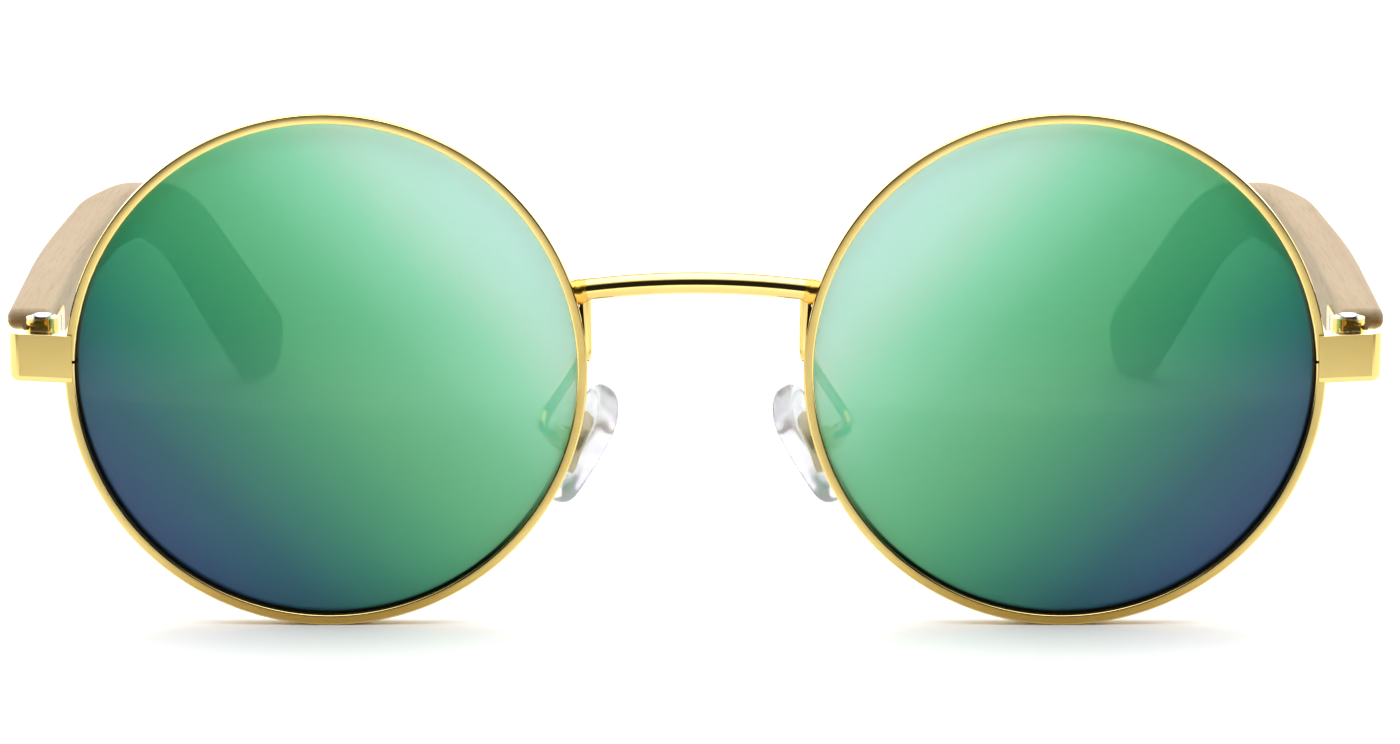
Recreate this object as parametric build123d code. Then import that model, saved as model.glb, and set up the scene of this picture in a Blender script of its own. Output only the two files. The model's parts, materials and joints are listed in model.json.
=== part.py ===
from build123d import *
import math
import os

# Round metal sunglasses with wooden temples, open, resting on the rim bottoms and the temple tips.
# Millimetres, +Z up, the front faces -Y, +X is the wearer's left.
# Every piece of the wearer's left side is modelled, and the right side is its mirror image.
# Inside the model y = 0 is the front face of the end pieces' plane and z = 0 the bottom of the rims.
# At the end all is moved so that the origin is the middle of the bounding box's bottom.

# ---- driving dimensions -------------------------------------------------------------------------
rim_aperture = 50.3
rim_wall = 1.0
rim_depth = 2.3
nasal_gap = 21.6
rim_chamfer = 0.15
front_tilt = 1.4

groove_depth = 0.5
groove_width = 1.3
groove_setback = 1.45

lens_thickness = 1.9
lens_front_radius = 130.0
lens_bevel_front = 0.5

bridge_diameter = 2.2
bridge_end_height = 8.0
bridge_rise = 1.05
bridge_bow = 0.7
bridge_bead_diameter = 2.6
bridge_bead_inset = 0.45

end_piece_drop = 1.15
end_piece_height = 4.9
end_piece_overlap = 0.8
end_piece_reach = 6.3
end_piece_splay = 1.2
end_piece_plate = 1.5
end_piece_wall = 1.3
end_piece_proud = 0.5
end_piece_setback = 1.5
end_piece_back_y = 8.4
end_piece_corner_radius = 1.3
end_piece_inner_corner_radius = 0.4
end_piece_edge_radius = 0.7

rim_split_rise = 1.35
rim_split_gap = 0.3
closing_block_width = 1.4
closing_block_depth = 3.1
closing_block_height = 2.0
rim_screw_diameter = 0.9
rim_screw_head_diameter = 1.2
rim_screw_head_height = 0.4
rim_screw_slot_width = 0.2

hinge_inset = 3.9
hinge_setback = 2.4
hinge_foot_rise = 0.3
hinge_stand = 0.8
knuckle_radius = 1.65
hinge_screw_diameter = 1.2
hinge_screw_head_diameter = 2.25
hinge_screw_head_height = 0.3
hinge_screw_head_edge_radius = 0.24
hinge_screw_slot_width = 0.35
hinge_base_depth = 2.2
hinge_base_inset = 1.2
hinge_base_wall_overlap = 0.325
hinge_web_width = 2.2
hinge_arm_thickness = 1.0
hinge_plate_height = 3.1
hinge_plate_length = 11.5
hinge_plate_end_radius = 1.0
temple_screw_diameter = 0.9
temple_screw_head_diameter = 1.8
temple_screw_length = 3.4
temple_screw_spacing = 5.0
temple_screw_setback = 3.6

temple_thickness = 4.5
temple_height = 6.0
temple_edge_radius = 0.9
temple_bulge = 1.2
temple_bulge_y = 46.0
temple_toe_bulge = 0.4
temple_toe_y = 79.3
temple_toe_angle = 13.5
temple_toe_radius = 40.0
temple_bow_radius = 400.0
hook_corner_y = 100.2
hook_turn = 35.0
hook_bend_radius = 45.0
hook_tip_width = 9.0
hook_tip_radius = 4.3
blank_length = 160.0

pad_length = 13.0
pad_top_width = 7.2
pad_bottom_width = 4.6
pad_thickness = 2.2
pad_edge_radius = 0.8
pad_inset = 0.7
pad_setback = 7.6
pad_drop = 9.05
pad_frontal_angle = 25.0
pad_splay_angle = 20.0
pad_core_width = 3.0
pad_core_length = 6.4
pad_core_thickness = 0.5
pad_core_corner_radius = 1.0
pad_lug_width = 1.0
pad_lug_radius = 0.75
pad_pivot_depth = 1.05
pad_box_wall = 0.5
pad_box_height = 2.2
pad_screw_diameter = 0.6
pad_screw_head_diameter = 1.1
pad_screw_head_height = 0.3

arm_diameter = 1.2
arm_root_inset = 1.05
arm_root_drop = 0.4
arm_foot_inset = -0.15
arm_foot_rise = 1.35
arm_foot_y = 1.1
arm_back_y = 7.4
arm_loop_reach = 4.3
arm_loop_rise = 3.4
arm_loop_end_setback = 0.4
arm_loop_end_rise = 0.5
arm_bend_radii = [1.2, 1.6, 1.2, 0.9]

# ---- clearances ---------------------------------------------------------------------------------
running_clearance = 0.05
fixed_clearance = 0.02
stop_clearance = 0.1
knuckle_gap = 0.06
lens_clearance = 0.06
pad_box_gap = 0.35
lug_end_gap = 0.15

# ---- values worked out from the driving dimensions ----------------------------------------------
rim_inner_radius = rim_aperture / 2
rim_outer_radius = rim_inner_radius + rim_wall
rim_x = nasal_gap / 2 + rim_outer_radius
rim_z = rim_outer_radius
rim_split_height = rim_z + rim_split_rise
end_piece_bottom = rim_z - end_piece_drop
end_piece_top = end_piece_bottom + end_piece_height
end_piece_inner_x = rim_x + rim_outer_radius - end_piece_overlap
end_piece_corner_x = end_piece_inner_x + end_piece_reach
end_piece_back_x = end_piece_corner_x + end_piece_splay
hinge_x = end_piece_back_x - hinge_inset
hinge_y = end_piece_back_y - hinge_setback
hinge_bottom = end_piece_bottom + hinge_foot_rise
hinge_top = end_piece_top + hinge_stand
hinge_base_inner_x = hinge_x - hinge_base_inset
temple_bottom = end_piece_bottom
temple_front_y = end_piece_back_y + stop_clearance
temple_axis_z = temple_bottom + temple_height / 2
temple_top = temple_bottom + temple_height
temple_front_x = end_piece_back_x
knuckle_height = (hinge_top - hinge_bottom - 2 * knuckle_gap) / 3
middle_knuckle_bottom = hinge_bottom + knuckle_height + knuckle_gap
middle_knuckle_top = middle_knuckle_bottom + knuckle_height
hinge_plate_back_y = temple_front_y + hinge_plate_length
temple_inner_x = temple_front_x - temple_thickness
temple_bulge_x = temple_front_x + temple_bulge
temple_toe_x = temple_front_x + temple_toe_bulge
hinge_plate_outer_x = temple_inner_x + hinge_arm_thickness
temple_screw_ys = [
    temple_front_y + temple_screw_setback,
    temple_front_y + temple_screw_setback + temple_screw_spacing,
]
groove_bottom_radius = rim_inner_radius + groove_depth
lens_edge_radius = rim_inner_radius - lens_clearance
lens_bevel_radius = groove_bottom_radius - lens_clearance
bridge_end_z = rim_z + bridge_end_height
bridge_middle_z = bridge_end_z + bridge_rise
pad_pivot_z = -pad_thickness / 2 - pad_pivot_depth
pad_centre = (nasal_gap / 2 + pad_inset, pad_setback, rim_z - pad_drop)
arm_foot_bottom = rim_z + arm_foot_rise
arm_loop_x = pad_centre[0] + arm_loop_reach
arm_loop_top = pad_centre[2] + arm_loop_rise


def lying_ring(profile):
    """Turn a (radius, depth) profile about the axis of the left rim, which runs along Y."""
    placed = Plane(origin=(rim_x, 0, rim_z), x_dir=(1, 0, 0), z_dir=(0, 0, 1)) * profile
    return revolve(placed, Axis((rim_x, 0, rim_z), (0, 1, 0)), 360)


def tilt_place():
    """The small turn that leans the top of the front forward, about the line through the rim splits."""
    return Pos(0, 0, rim_split_height) * Rot(front_tilt, 0, 0) * Pos(0, 0, -rim_split_height)


def tilted(shape):
    """A piece of the upright front, leant forward with it."""
    return tilt_place() * shape


def upright_box(x0, x1, y0, y1, z0, z1):
    """A box between two corners."""
    middle = Pos((x0 + x1) / 2, (y0 + y1) / 2, (z0 + z1) / 2)
    return middle * Box(abs(x1 - x0), abs(y1 - y0), abs(z1 - z0))


def upright_cylinder(x, y, z0, z1, radius):
    """A cylinder along Z."""
    return Pos(x, y, (z0 + z1) / 2) * Cylinder(radius, z1 - z0)


# ---- rim and lens -------------------------------------------------------------------------------
def make_rim():
    """The eye wire: flat front band, polished outer side, V groove for the lens, split for it to open."""
    c = rim_chamfer
    half_groove = groove_width / 2
    profile = Polyline(
        (rim_inner_radius, c),
        (rim_inner_radius + c, 0),
        (rim_outer_radius - c, 0),
        (rim_outer_radius, c),
        (rim_outer_radius, rim_depth - c),
        (rim_outer_radius - c, rim_depth),
        (rim_inner_radius + c, rim_depth),
        (rim_inner_radius, rim_depth - c),
        (rim_inner_radius, groove_setback + half_groove),
        (groove_bottom_radius, groove_setback),
        (rim_inner_radius, groove_setback - half_groove),
        close=True,
    )
    ring = lying_ring(make_face(profile))
    split = upright_box(
        rim_x + rim_inner_radius / 2,
        rim_x + rim_outer_radius + rim_wall,
        -rim_depth,
        2 * rim_depth,
        rim_split_height - rim_split_gap / 2,
        rim_split_height + rim_split_gap / 2,
    )
    return ring - split


def make_lens():
    """A spherical lens with a V bevel on its edge that sits in the rim's groove."""
    half_bevel = groove_width / 2 - lens_clearance
    edge_front = groove_setback - lens_bevel_front
    edge_back = edge_front + lens_thickness
    back_radius = lens_front_radius - lens_thickness
    front_sag = lens_front_radius - math.sqrt(lens_front_radius**2 - lens_edge_radius**2)
    back_sag = back_radius - math.sqrt(back_radius**2 - lens_edge_radius**2)
    front_pole = edge_front - front_sag
    back_pole = edge_back - back_sag
    half_radius = lens_edge_radius / 2
    front_mid = front_pole + lens_front_radius - math.sqrt(lens_front_radius**2 - half_radius**2)
    back_mid = back_pole + back_radius - math.sqrt(back_radius**2 - half_radius**2)
    bevel_front = groove_setback - half_bevel
    bevel_start = max(bevel_front, edge_front + rim_chamfer)
    outline = Curve() + [
        Line((0, back_pole), (0, front_pole)),
        ThreePointArc((0, front_pole), (half_radius, front_mid), (lens_edge_radius, edge_front)),
        Line((lens_edge_radius, edge_front), (lens_edge_radius, bevel_start)),
        Line((lens_edge_radius, bevel_start), (lens_bevel_radius, groove_setback)),
        Line((lens_bevel_radius, groove_setback), (lens_edge_radius, groove_setback + half_bevel)),
        Line((lens_edge_radius, groove_setback + half_bevel), (lens_edge_radius, edge_back)),
        ThreePointArc((lens_edge_radius, edge_back), (half_radius, back_mid), (0, back_pole)),
    ]
    return lying_ring(make_face(outline))


def eye_blank(front_y, back_y):
    """A solid disc as wide as the left rim: what is soldered to the rim's outer side is cut with it."""
    middle = Pos(rim_outer_radius / 2, (front_y + back_y) / 2)
    return lying_ring(middle * Rectangle(rim_outer_radius, back_y - front_y))


# ---- bridge -------------------------------------------------------------------------------------
def make_bridge():
    """A round bar that arches over the nose, with a solder bead where it meets each rim."""
    reach = rim_x - math.sqrt(rim_outer_radius**2 - bridge_end_height**2) + rim_wall / 2
    middle_y = rim_depth / 2
    path = ThreePointArc(
        (-reach, middle_y, bridge_end_z),
        (0, middle_y - bridge_bow, bridge_middle_z),
        (reach, middle_y, bridge_end_z),
    )
    section = Plane(origin=path @ 0, z_dir=path % 0) * Circle(bridge_diameter / 2)
    bar = sweep(section, path=path)
    left_half = bar & upright_box(0, rim_x, -rim_x, rim_x, 0, 2 * rim_x)
    bead_x = reach - rim_wall / 2 - bridge_bead_inset
    bead = Rot(0, 0, 180) * Sphere(bridge_bead_diameter / 2)
    left_half += Pos(bead_x, middle_y, bridge_end_z) * bead
    left_half -= eye_blank(-rim_depth, 2 * rim_depth)
    return left_half + left_half.mirror(Plane.YZ)


# ---- end piece ----------------------------------------------------------------------------------
def make_end_piece():
    """The L-shaped corner: a front plate over the rim's edge and a side wall back to the temple."""
    corner_y = end_piece_setback - end_piece_proud
    plan = FilletPolyline(
        (end_piece_inner_x, -end_piece_proud),
        (end_piece_corner_x, corner_y),
        (end_piece_back_x, end_piece_back_y),
        (end_piece_back_x - end_piece_wall, end_piece_back_y),
        (end_piece_corner_x - end_piece_wall, corner_y + end_piece_plate),
        (end_piece_inner_x, end_piece_plate - end_piece_proud),
        radius=[0, end_piece_corner_radius, 0, 0, end_piece_inner_corner_radius, 0],
        close=True,
    )
    bracket = extrude(Pos(0, 0, end_piece_bottom) * make_face(plan), end_piece_height)
    bend = bracket.edges().filter_by(Axis.Z, reverse=True).group_by(Axis.Z)[0]
    bend = bend.filter_by(GeomType.CIRCLE).sort_by(Axis.X)[-1:]
    wall = bracket.edges().group_by(Axis.Z)[0].filter_by(GeomType.LINE).sort_by(Axis.X)
    wall = [e for e in wall if e.length > end_piece_back_y / 2][-1:]
    return fillet(bend + wall, end_piece_edge_radius)


# ---- closing blocks and rim screw ---------------------------------------------------------------
def make_closing_blocks():
    """Two blocks soldered to the rim beside its split, bored for the screw that closes the rim."""
    near_x = rim_x + (groove_bottom_radius + rim_outer_radius) / 2
    far_x = rim_x + rim_outer_radius + closing_block_width
    near_y = end_piece_plate - end_piece_proud - stop_clearance
    far_y = near_y + closing_block_depth
    split_top = rim_split_height + rim_split_gap / 2
    split_bottom = rim_split_height - rim_split_gap / 2
    upper = upright_box(near_x, far_x, near_y, far_y, split_top, split_top + closing_block_height)
    lower = upright_box(near_x, far_x, near_y, far_y, split_bottom - closing_block_height, split_bottom)
    return upper, lower


def rim_screw_place():
    """The x and y of the closing screw, in the middle of the blocks behind the rim's outer edge."""
    x = rim_x + rim_outer_radius + closing_block_width / 2
    y = end_piece_plate - end_piece_proud - stop_clearance + closing_block_depth / 2
    return x, y


def make_rim_screw(extra=0.0):
    """The screw that draws the two closing blocks together, from below."""
    x, y = rim_screw_place()
    bottom = rim_split_height - rim_split_gap / 2 - closing_block_height
    top = rim_split_height + rim_split_gap / 2 + closing_block_height
    shank_top = top - rim_split_gap
    shank = upright_cylinder(x, y, bottom, shank_top + extra, rim_screw_diameter / 2 + extra)
    head_top = bottom + rim_screw_head_height + extra
    head = upright_cylinder(x, y, bottom, head_top, rim_screw_head_diameter / 2 + extra)
    screw = shank + head
    if extra > 0:
        return screw
    slot = upright_box(
        x - rim_screw_diameter,
        x + rim_screw_diameter,
        y - rim_screw_slot_width / 2,
        y + rim_screw_slot_width / 2,
        bottom,
        bottom + rim_screw_head_height / 2,
    )
    return screw - slot


# ---- hinge --------------------------------------------------------------------------------------
def make_front_hinge():
    """The soldered half of the hinge: a base with the upper and lower knuckles."""
    base_x = end_piece_corner_x - end_piece_wall + hinge_base_wall_overlap
    base_front = end_piece_plate - end_piece_proud - stop_clearance
    base_back = base_front + hinge_base_depth
    web_inner = hinge_x - hinge_web_width / 2
    web_outer = hinge_x + hinge_web_width / 2
    half = upright_box(hinge_base_inner_x, base_x, base_front, base_back, hinge_bottom, end_piece_top)
    upper_start = middle_knuckle_top + knuckle_gap
    lower_end = middle_knuckle_bottom - knuckle_gap
    half += upright_box(web_inner, web_outer, base_front, hinge_y, upper_start, end_piece_top)
    half += upright_box(web_inner, web_outer, base_front, hinge_y, hinge_bottom, lower_end)
    half += upright_cylinder(hinge_x, hinge_y, upper_start, hinge_top, knuckle_radius)
    half += upright_cylinder(hinge_x, hinge_y, hinge_bottom, lower_end, knuckle_radius)
    bore = upright_cylinder(
        hinge_x, hinge_y, hinge_bottom, hinge_top, hinge_screw_diameter / 2 + fixed_clearance
    )
    return half - bore


def make_temple_hinge():
    """The temple's half of the hinge: the middle knuckle, its arm and the plate let into the wood."""
    arm_inner = temple_inner_x
    arm_outer = hinge_plate_outer_x
    plate_bottom = temple_axis_z - hinge_plate_height / 2
    plate_top = temple_axis_z + hinge_plate_height / 2
    leaf = upright_cylinder(hinge_x, hinge_y, middle_knuckle_bottom, middle_knuckle_top, knuckle_radius)
    arm_back = temple_front_y + hinge_plate_length / 2
    leaf += upright_box(arm_inner, arm_outer, hinge_y, arm_back, middle_knuckle_bottom, middle_knuckle_top)
    plate = upright_box(arm_inner, arm_outer, temple_front_y, hinge_plate_back_y, plate_bottom, plate_top)
    plate = fillet(plate.edges().filter_by(Axis.X).sort_by(Axis.Y)[-2:], hinge_plate_end_radius)
    leaf += plate
    bore = upright_cylinder(
        hinge_x,
        hinge_y,
        middle_knuckle_bottom,
        middle_knuckle_top,
        hinge_screw_diameter / 2 + running_clearance,
    )
    return leaf - bore - make_temple_screws(fixed_clearance)


def make_hinge_screw():
    """The hinge pin: a screw with a domed, slotted head on top of the knuckles."""
    head_radius = hinge_screw_head_diameter / 2
    shank = upright_cylinder(hinge_x, hinge_y, hinge_bottom, hinge_top, hinge_screw_diameter / 2)
    head = upright_cylinder(
        hinge_x, hinge_y, hinge_top, hinge_top + hinge_screw_head_height, head_radius
    )
    head = fillet(head.edges().group_by(Axis.Z)[-1], hinge_screw_head_edge_radius)
    slot_top = hinge_top + hinge_screw_head_height
    slot = upright_box(
        hinge_x - head_radius,
        hinge_x + head_radius,
        hinge_y - hinge_screw_slot_width / 2,
        hinge_y + hinge_screw_slot_width / 2,
        slot_top - hinge_screw_head_height / 2,
        slot_top,
    )
    return shank + head - slot


# ---- temple -------------------------------------------------------------------------------------
def make_temple_screws(extra=0.0):
    """Two countersunk screws through the hinge plate into the wood."""
    screws = []
    head_radius = temple_screw_head_diameter / 2
    shank_radius = temple_screw_diameter / 2
    cone_height = head_radius - shank_radius
    for y in temple_screw_ys:
        face = Plane(origin=(temple_inner_x, y, temple_axis_z), z_dir=(1, 0, 0))
        cone = Cone(head_radius + extra, shank_radius + extra, cone_height)
        cone = face * Pos(0, 0, cone_height / 2) * cone
        length = temple_screw_length + extra
        shank = face * Pos(0, 0, length / 2) * Cylinder(shank_radius + extra, length)
        screw = cone + shank
        if extra == 0:
            slot = Box(2 * head_radius, hinge_screw_slot_width, hinge_screw_slot_width)
            screw = screw - face * slot
        screws.append(screw)
    return screws


def temple_side_outline():
    """The side profile, in depth and height: straight, bent down behind the ear, with a wide round tip."""
    turn = math.radians(hook_turn)
    half = temple_height / 2
    half_tip = hook_tip_width / 2
    tip_centre_z = half_tip
    end_z = tip_centre_z - half_tip * math.sin(turn)
    hook_length = (temple_axis_z - end_z) / math.sin(turn)
    end = Vector(hook_corner_y + hook_length * math.cos(turn), end_z)
    across = Vector(math.sin(turn), math.cos(turn))
    shift = half * math.tan(turn / 2)
    upper_corner = Vector(hook_corner_y + shift, temple_top)
    lower_corner = Vector(hook_corner_y - shift, temple_bottom)
    return FilletPolyline(
        (temple_front_y, temple_bottom),
        (temple_front_y, temple_top),
        upper_corner,
        end + across * half_tip,
        end - across * half_tip,
        lower_corner,
        radius=[
            0,
            0,
            hook_bend_radius + half,
            hook_tip_radius,
            hook_tip_radius,
            hook_bend_radius - half,
        ],
        close=True,
    )


def temple_plan_outline():
    """The plan, in x and depth: a slight outward bow, then toed in towards the back of the head."""
    reach = temple_toe_y
    end_y = temple_front_y + blank_length
    end_x = temple_toe_x - (end_y - reach) * math.tan(math.radians(temple_toe_angle))
    outer = [
        (temple_front_x, temple_front_y),
        (temple_bulge_x, temple_bulge_y),
        (temple_toe_x, temple_toe_y),
        (end_x, end_y),
    ]
    inner = [(x - temple_thickness, y) for x, y in reversed(outer)]
    return FilletPolyline(
        *outer,
        *inner,
        radius=[
            0,
            temple_bow_radius,
            temple_toe_radius,
            0,
            0,
            temple_toe_radius,
            temple_bow_radius,
            0,
        ],
        close=True,
    )


def make_temple():
    """One wooden bar, sawn to the plan and to the side profile, with its edges rounded."""
    side = Plane(origin=(0, 0, 0), x_dir=(0, 1, 0), z_dir=(1, 0, 0)) * make_face(temple_side_outline())
    side = extrude(side, temple_bulge_x + temple_thickness)
    plan = extrude(make_face(temple_plan_outline()), temple_top + temple_height)
    bar = side & plan
    bar = fillet(bar.edges(), temple_edge_radius)
    pocket = upright_box(
        temple_inner_x - temple_thickness / 2,
        hinge_plate_outer_x + fixed_clearance,
        temple_front_y - temple_thickness,
        hinge_plate_back_y + fixed_clearance,
        temple_axis_z - hinge_plate_height / 2 - fixed_clearance,
        temple_axis_z + hinge_plate_height / 2 + fixed_clearance,
    )
    pocket = fillet(pocket.edges().filter_by(Axis.X).sort_by(Axis.Y)[-2:], hinge_plate_end_radius)
    return bar - pocket - make_temple_screws(fixed_clearance)


# ---- nose pad and its arm -----------------------------------------------------------------------
def pad_plane():
    """The pad's own plane: x runs back across the pad, y down its length, z out of its nose side."""
    lean = math.radians(pad_frontal_angle)
    splay = math.radians(pad_splay_angle)
    facing = Vector(-math.cos(lean) * math.cos(splay), math.sin(splay), -math.sin(lean) * math.cos(splay))
    across = Vector(math.cos(lean) * math.sin(splay), math.cos(splay), math.sin(lean) * math.sin(splay))
    return Plane(origin=pad_centre, x_dir=across, z_dir=facing)


def make_pad_core():
    """The metal insert inside the pad, with the bored lug that comes out of its back."""
    plate_back = -pad_core_thickness
    plate = Pos(0, 0, plate_back / 2) * Box(pad_core_width, pad_core_length, pad_core_thickness)
    plate = fillet(plate.edges().filter_by(Axis.Z), pad_core_corner_radius)
    lug_length = plate_back - pad_pivot_z
    lug = Pos(0, 0, pad_pivot_z + lug_length / 2) * Box(pad_lug_width, 2 * pad_lug_radius, lug_length)
    eye = Pos(0, 0, pad_pivot_z) * Rot(0, 90, 0) * Cylinder(pad_lug_radius, pad_lug_width)
    bore_radius = pad_screw_diameter / 2 + running_clearance
    bore = Pos(0, 0, pad_pivot_z) * Rot(0, 90, 0) * Cylinder(bore_radius, 2 * pad_lug_width)
    return pad_plane() * (plate + lug + eye - bore)


def make_nose_pad(core):
    """A soft teardrop, wide at the top, moulded round the core."""
    top_radius = pad_top_width / 2
    bottom_radius = pad_bottom_width / 2
    top = Pos(0, top_radius - pad_length / 2) * Circle(top_radius)
    bottom = Pos(0, pad_length / 2 - bottom_radius) * Circle(bottom_radius)
    outline = make_hull(top.edges() + bottom.edges())
    drop = extrude(Pos(0, 0, -pad_thickness / 2) * outline, pad_thickness)
    rims = drop.edges().group_by(Axis.Z)[0] + drop.edges().group_by(Axis.Z)[-1]
    drop = fillet(rims, pad_edge_radius)
    return pad_plane() * drop - core


def pad_box_back():
    """How far behind the pad's middle the back of the box lies, along the pad's facing line."""
    return pad_pivot_z - pad_lug_radius - lug_end_gap - pad_box_wall


def make_pad_box():
    """The small box that holds the lug between two cheeks and lets the pad rock."""
    back = pad_box_back()
    front = pad_pivot_z + pad_pivot_depth - pad_box_gap
    inner_width = pad_lug_width + 2 * running_clearance
    outer_width = inner_width + 2 * pad_box_wall
    body = Pos(0, 0, (back + front) / 2) * Box(outer_width, pad_box_height, front - back)
    slot_back = back + pad_box_wall
    slot = Pos(0, 0, (slot_back + front) / 2) * Box(inner_width, 2 * pad_box_height, front - slot_back)
    bore_radius = pad_screw_diameter / 2 + fixed_clearance
    bore = Pos(0, 0, pad_pivot_z) * Rot(0, 90, 0) * Cylinder(bore_radius, 2 * outer_width)
    return pad_plane() * (body - slot - bore)


def make_pad_screw():
    """The screw across the box that the lug rocks on."""
    half_width = pad_lug_width / 2 + running_clearance + pad_box_wall
    shank = Pos(0, 0, pad_pivot_z) * Rot(0, 90, 0) * Cylinder(pad_screw_diameter / 2, 2 * half_width)
    head_x = half_width + pad_screw_head_height / 2
    head = Pos(head_x, 0, pad_pivot_z) * Rot(0, 90, 0)
    head = head * Cylinder(pad_screw_head_diameter / 2, pad_screw_head_height)
    slot_x = half_width + pad_screw_head_height
    slot = Pos(slot_x, 0, pad_pivot_z)
    slot = slot * Box(pad_screw_head_height, pad_screw_head_diameter, pad_screw_head_height / 2)
    return pad_plane() * (shank + head - slot)


def make_pad_arm():
    """The wire from the bridge's end down the rim's nasal side, back, and round to the box."""
    bridge_end_x = rim_x - math.sqrt(rim_outer_radius**2 - bridge_end_height**2)
    plane = pad_plane()
    box_end = plane.from_local_coords(Vector(0, 0, pad_box_back()))
    loop_y = box_end.Y - arm_loop_end_setback
    loop_z = box_end.Z + arm_loop_end_rise
    route = [
        Vector(bridge_end_x - arm_root_inset, arm_foot_y, bridge_end_z - arm_root_drop),
        Vector(rim_x - rim_outer_radius - arm_foot_inset, arm_foot_y, arm_foot_bottom),
        Vector(pad_centre[0], arm_back_y, arm_foot_bottom - arm_diameter),
        Vector(arm_loop_x - arm_diameter / 2, arm_back_y + arm_diameter / 2, arm_loop_top),
        Vector(arm_loop_x, loop_y, loop_z),
        box_end,
    ]
    path = FilletPolyline(*route, radius=arm_bend_radii)
    section = Plane(origin=path @ 0, z_dir=path % 0) * Circle(arm_diameter / 2)
    return sweep(section, path=path) - eye_blank(-rim_depth, rim_depth)


# ---- assembly -----------------------------------------------------------------------------------
def make_left_side(bridge):
    """Every piece of the wearer's left side, trimmed where soldered pieces meet."""
    rim = tilted(make_rim())
    core = tilted(make_pad_core())
    box = tilted(make_pad_box())
    end_piece = make_end_piece() - rim
    upper_block, lower_block = make_closing_blocks()
    screw_bore = make_rim_screw(fixed_clearance)
    free_plate = Pos(0, stop_clearance, 0) * end_piece
    temple_hinge = make_temple_hinge()
    return {
        "rim": rim,
        "lens": tilted(make_lens()),
        "end_piece": end_piece,
        "upper_closing_block": upper_block - rim - end_piece - screw_bore,
        "lower_closing_block": lower_block - rim - free_plate - screw_bore,
        "rim_screw": make_rim_screw(),
        "front_hinge": make_front_hinge() - end_piece,
        "hinge_screw": make_hinge_screw(),
        "temple_hinge": temple_hinge,
        "temple_screws": Part() + make_temple_screws(),
        "temple": make_temple(),
        "pad_arm": tilted(make_pad_arm()) - bridge - box,
        "pad_box": box,
        "pad_screw": tilted(make_pad_screw()),
        "pad_core": core,
        "nose_pad": tilted(make_nose_pad(make_pad_core())),
    }


def resting_place(pieces):
    """How far all the pieces move to put the origin in the middle of the bounding box's bottom."""
    boxes = [piece.bounding_box() for piece in pieces.values()]
    front = min(box.min.Y for box in boxes)
    back = max(box.max.Y for box in boxes)
    bottom = min(box.min.Z for box in boxes)
    return Vector(0, -(front + back) / 2, -bottom)


def build():
    """All the pieces by name, standing on z = 0 about the origin, and the move that took them there."""
    bridge = tilted(make_bridge())
    pieces = {"bridge": bridge}
    for name, piece in make_left_side(bridge).items():
        pieces["left_" + name] = piece
        pieces["right_" + name] = piece.mirror(Plane.YZ)
    move = resting_place(pieces)
    return {name: Pos(move) * piece for name, piece in pieces.items()}, move


def print_place(label, point):
    """Print one place in metres."""
    print(label, [round(value / 1000, 6) for value in (point.X, point.Y, point.Z)])


os.makedirs("parts", exist_ok=True)
pieces, move = build()
for name, piece in pieces.items():
    export_step(piece, os.path.join("parts", name + ".step"))
    print(name, round(piece.volume, 2), "mm3")

pivot_plane = Plane(tilt_place() * pad_plane().location)
print_place("left hinge", Vector(hinge_x, hinge_y, temple_axis_z) + move)
print_place("left pad pivot", pivot_plane.from_local_coords(Vector(0, 0, pad_pivot_z)) + move)
print_place("left pad axis (metres / 1000)", pivot_plane.x_dir * 1000)
print_place("nose saddle", Vector(0, pad_centre[1], pad_centre[2]) + move)
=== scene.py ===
# %% [markdown]
# # Round metal sunglasses with bamboo temples
#
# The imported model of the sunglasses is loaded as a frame, and every visible piece is finished on
# it: metal is rounded and polished, the lenses get their mirror colour, the nose pads become clear
# soft plastic, and the temples become bamboo. The sunglasses stand open on a pale table, under
# soft light.

import json
import math

import bpy
from mathutils import Matrix, Vector


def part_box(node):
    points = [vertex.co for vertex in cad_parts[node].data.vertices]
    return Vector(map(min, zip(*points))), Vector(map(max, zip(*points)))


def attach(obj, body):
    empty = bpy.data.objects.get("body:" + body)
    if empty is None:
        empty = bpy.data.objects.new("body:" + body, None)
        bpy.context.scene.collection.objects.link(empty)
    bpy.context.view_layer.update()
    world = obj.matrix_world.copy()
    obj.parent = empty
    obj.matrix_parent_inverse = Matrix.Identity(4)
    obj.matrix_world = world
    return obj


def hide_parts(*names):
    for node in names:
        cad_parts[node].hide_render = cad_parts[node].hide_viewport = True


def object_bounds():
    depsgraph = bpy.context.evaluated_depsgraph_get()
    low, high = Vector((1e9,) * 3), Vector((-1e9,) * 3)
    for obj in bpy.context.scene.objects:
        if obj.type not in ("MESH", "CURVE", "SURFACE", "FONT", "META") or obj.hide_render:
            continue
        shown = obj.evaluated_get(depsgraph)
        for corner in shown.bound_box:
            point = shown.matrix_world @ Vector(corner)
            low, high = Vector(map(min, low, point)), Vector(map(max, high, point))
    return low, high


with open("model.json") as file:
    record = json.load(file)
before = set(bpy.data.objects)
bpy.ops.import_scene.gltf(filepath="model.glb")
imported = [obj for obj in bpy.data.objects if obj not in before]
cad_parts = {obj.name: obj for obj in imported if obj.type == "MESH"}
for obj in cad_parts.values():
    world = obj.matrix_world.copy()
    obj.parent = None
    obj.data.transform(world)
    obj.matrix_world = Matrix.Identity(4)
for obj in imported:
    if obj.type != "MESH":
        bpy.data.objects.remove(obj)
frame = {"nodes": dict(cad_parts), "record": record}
cad_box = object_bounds()
mm = 0.001
hair = 0.001 * mm

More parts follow.
